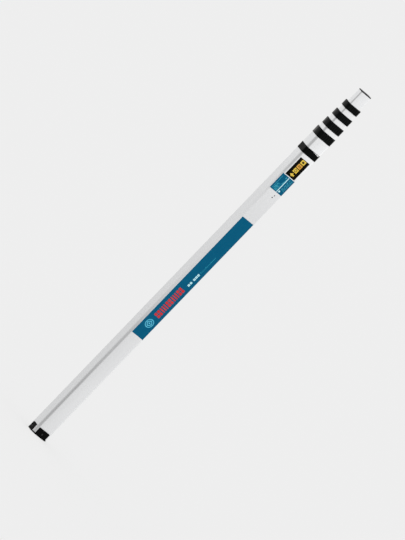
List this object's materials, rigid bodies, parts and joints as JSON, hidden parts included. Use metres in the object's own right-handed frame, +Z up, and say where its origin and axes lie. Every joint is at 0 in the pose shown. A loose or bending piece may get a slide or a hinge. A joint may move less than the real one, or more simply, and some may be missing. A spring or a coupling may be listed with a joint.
{
  "type": "leveling rod",
  "caption": "Telescopic aluminium leveling rod, closed, with ribbed black collars, a spring button lock for each drawn section, a tabbed foot and a thin top cap.",
  "frame": {"origin": "centre of the sole, where the rod stands and its heights start from 0", "axes": "+Z up the rod; the labelled front face looks along -Y and the graduated back face along +Y; +X to the right of someone who looks at the front"},
  "size_m": [0.0592, 0.0383, 1.22],
  "materials": {
    "anodised_aluminium": "clear anodised, satin, drawn lengthwise",
    "black_plastic": "moulded, satin",
    "belt_plastic": "moulded, semi-gloss",
    "grey_plastic": "moulded, fine grain",
    "sole_steel": "blackened, worn at the edge",
    "rivet_aluminium": "plain rivet",
    "rivet_black": "blackened rivet",
    "screw_steel": "zinc plated",
    "spring_steel": "spring wire",
    "button_plastic": "moulded, red",
    "blue_label": "printed foil, semi-gloss",
    "black_label": "printed foil, semi-gloss",
    "white_enamel": "baked enamel, satin",
    "printing_ink": "printed ink"
  },
  "bodies": {
    "section_1": {"section_1_tube": "anodised_aluminium", "foot_plate": "sole_steel", "foot_plate_screws": "screw_steel", "foot_cap": "black_plastic", "foot_tab_rivets": "rivet_black", "section_1_collar": "black_plastic", "section_1_collar_rivets": "rivet_aluminium", "lock_band": "belt_plastic", "front_label": "blue_label", "info_label": "blue_label", "hint_label": "black_label"},
    "section_2": {"section_2_tube": "anodised_aluminium", "section_2_collar": "black_plastic", "section_2_collar_rivets": "rivet_aluminium", "section_2_plug": "grey_plastic", "section_2_plug_rivets": "rivet_aluminium", "button_2_spring": "spring_steel"},
    "section_3": {"section_3_tube": "anodised_aluminium", "section_3_collar": "black_plastic", "section_3_collar_rivets": "rivet_aluminium", "section_3_plug": "grey_plastic", "section_3_plug_rivets": "rivet_aluminium", "button_3_spring": "spring_steel"},
    "section_4": {"section_4_tube": "anodised_aluminium", "section_4_collar": "black_plastic", "section_4_collar_rivets": "rivet_aluminium", "section_4_plug": "grey_plastic", "section_4_plug_rivets": "rivet_aluminium", "button_4_spring": "spring_steel"},
    "section_5": {"section_5_tube": "anodised_aluminium", "top_cap": "grey_plastic", "top_cap_rivets": "rivet_aluminium", "section_5_plug": "grey_plastic", "section_5_plug_rivets": "rivet_aluminium", "button_5_spring": "spring_steel"},
    "button_2": {"button_2": "button_plastic"},
    "button_3": {"button_3": "button_plastic"},
    "button_4": {"button_4": "button_plastic"},
    "button_5": {"button_5": "button_plastic"}
  },
  "joints": [
    {"name": "section_2_slide", "type": "slide", "parent": "section_1", "child": "section_2", "axis": [0, 0, 1], "range_m": [0, 0.945]},
    {"name": "section_3_slide", "type": "slide", "parent": "section_2", "child": "section_3", "axis": [0, 0, 1], "range_m": [0, 0.945]},
    {"name": "section_4_slide", "type": "slide", "parent": "section_3", "child": "section_4", "axis": [0, 0, 1], "range_m": [0, 0.945]},
    {"name": "section_5_slide", "type": "slide", "parent": "section_4", "child": "section_5", "axis": [0, 0, 1], "range_m": [0, 0.945]},
    {"name": "button_2_press", "type": "slide", "parent": "section_2", "child": "button_2", "axis": [0, -1, 0], "range_m": [0, 0.0015], "stiffness_N_per_m": 300, "springref_m": -0.004, "deforming": ["button_2_spring"]},
    {"name": "button_3_press", "type": "slide", "parent": "section_3", "child": "button_3", "axis": [0, -1, 0], "range_m": [0, 0.0015], "stiffness_N_per_m": 300, "springref_m": -0.004, "deforming": ["button_3_spring"]},
    {"name": "button_4_press", "type": "slide", "parent": "section_4", "child": "button_4", "axis": [0, -1, 0], "range_m": [0, 0.0015], "stiffness_N_per_m": 300, "springref_m": -0.004, "deforming": ["button_4_spring"]},
    {"name": "button_5_press", "type": "slide", "parent": "section_5", "child": "button_5", "axis": [0, -1, 0], "range_m": [0, 0.0015], "stiffness_N_per_m": 300, "springref_m": -0.004, "deforming": ["button_5_spring"]}
  ]
}
